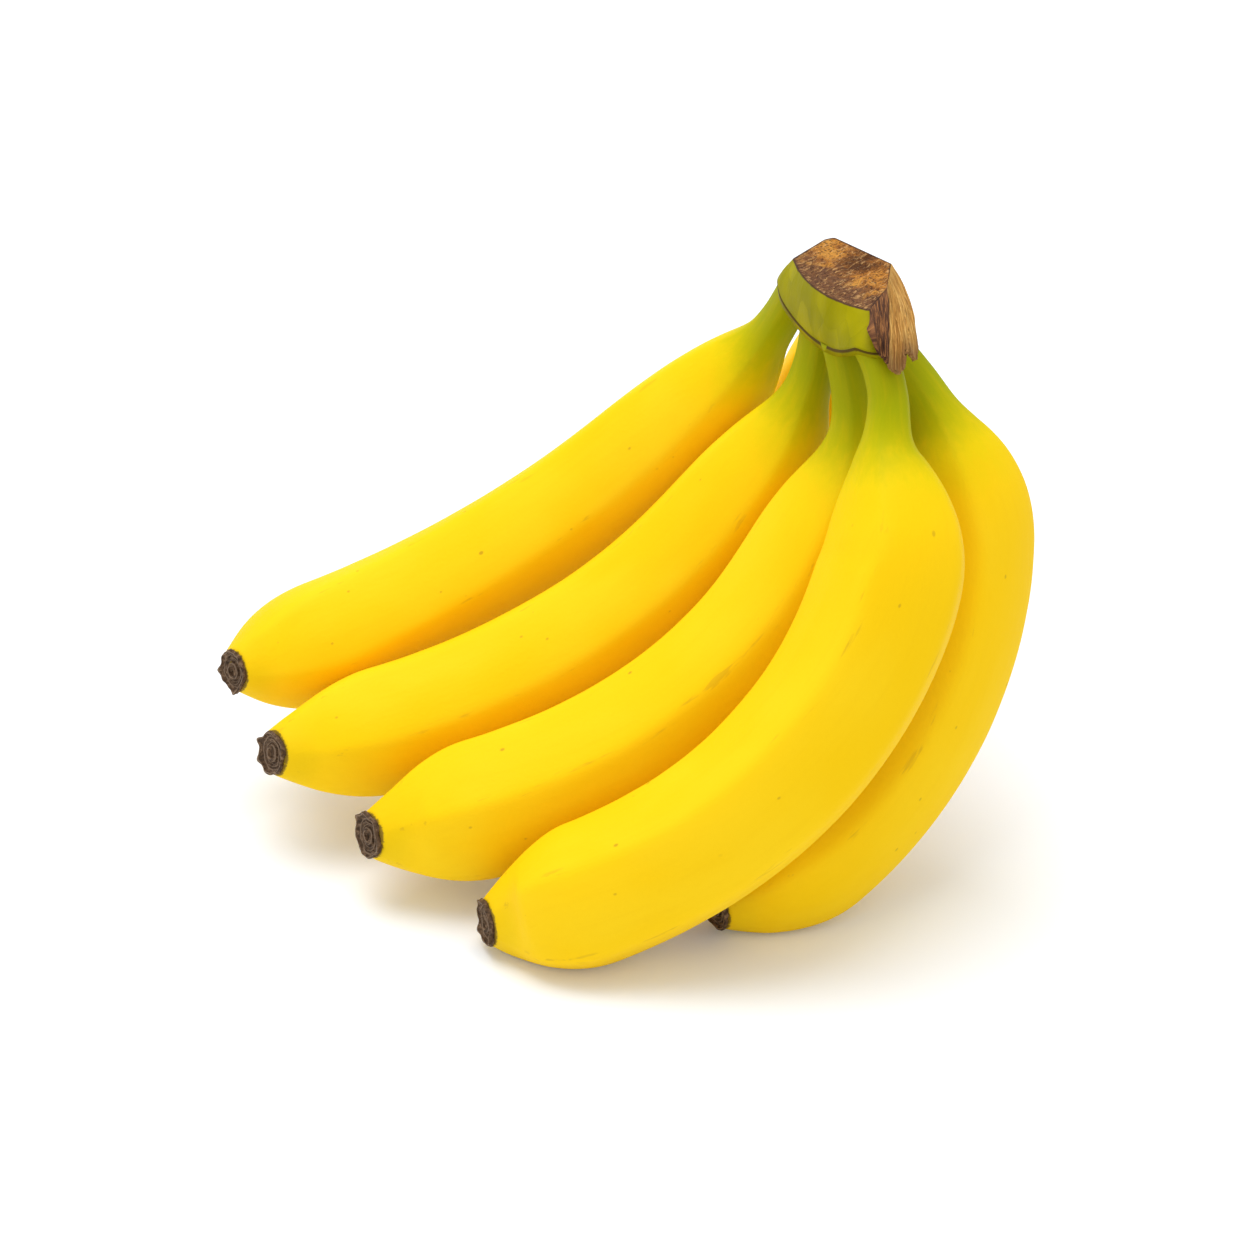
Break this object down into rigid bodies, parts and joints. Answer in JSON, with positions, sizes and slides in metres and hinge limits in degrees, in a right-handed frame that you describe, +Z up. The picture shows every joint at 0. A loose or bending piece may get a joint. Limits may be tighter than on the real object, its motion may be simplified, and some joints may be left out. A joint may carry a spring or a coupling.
{
  "type": "hand of bananas",
  "caption": "Hand of ripe yellow bananas joined at a cut crown, fingers fanned and curved, lying on their bellies.",
  "frame": {"origin": "middle of the bounding box's underside, on the surface that the hand rests on", "axes": "+Z up; the blossom ends point to -X and the crown is at the +X side; +Y runs across the fan, from finger 4 to finger 1"},
  "size_m": [0.1986, 0.1904, 0.1584],
  "materials": {
    "peel": "smooth, waxy, soft sheen",
    "crown": "smooth green skin with a dried brown cut face",
    "blossom_end": "dry, rough"
  },
  "bodies": {
    "root": {"crown": "crown", "banana_1": "peel", "banana_2": "peel", "banana_3": "peel", "banana_4": "peel", "banana_5": "peel", "banana_6": "peel", "blossom_end_1": "blossom_end", "blossom_end_2": "blossom_end", "blossom_end_3": "blossom_end", "blossom_end_4": "blossom_end", "blossom_end_5": "blossom_end", "blossom_end_6": "blossom_end"}
  },
  "joints": []
}
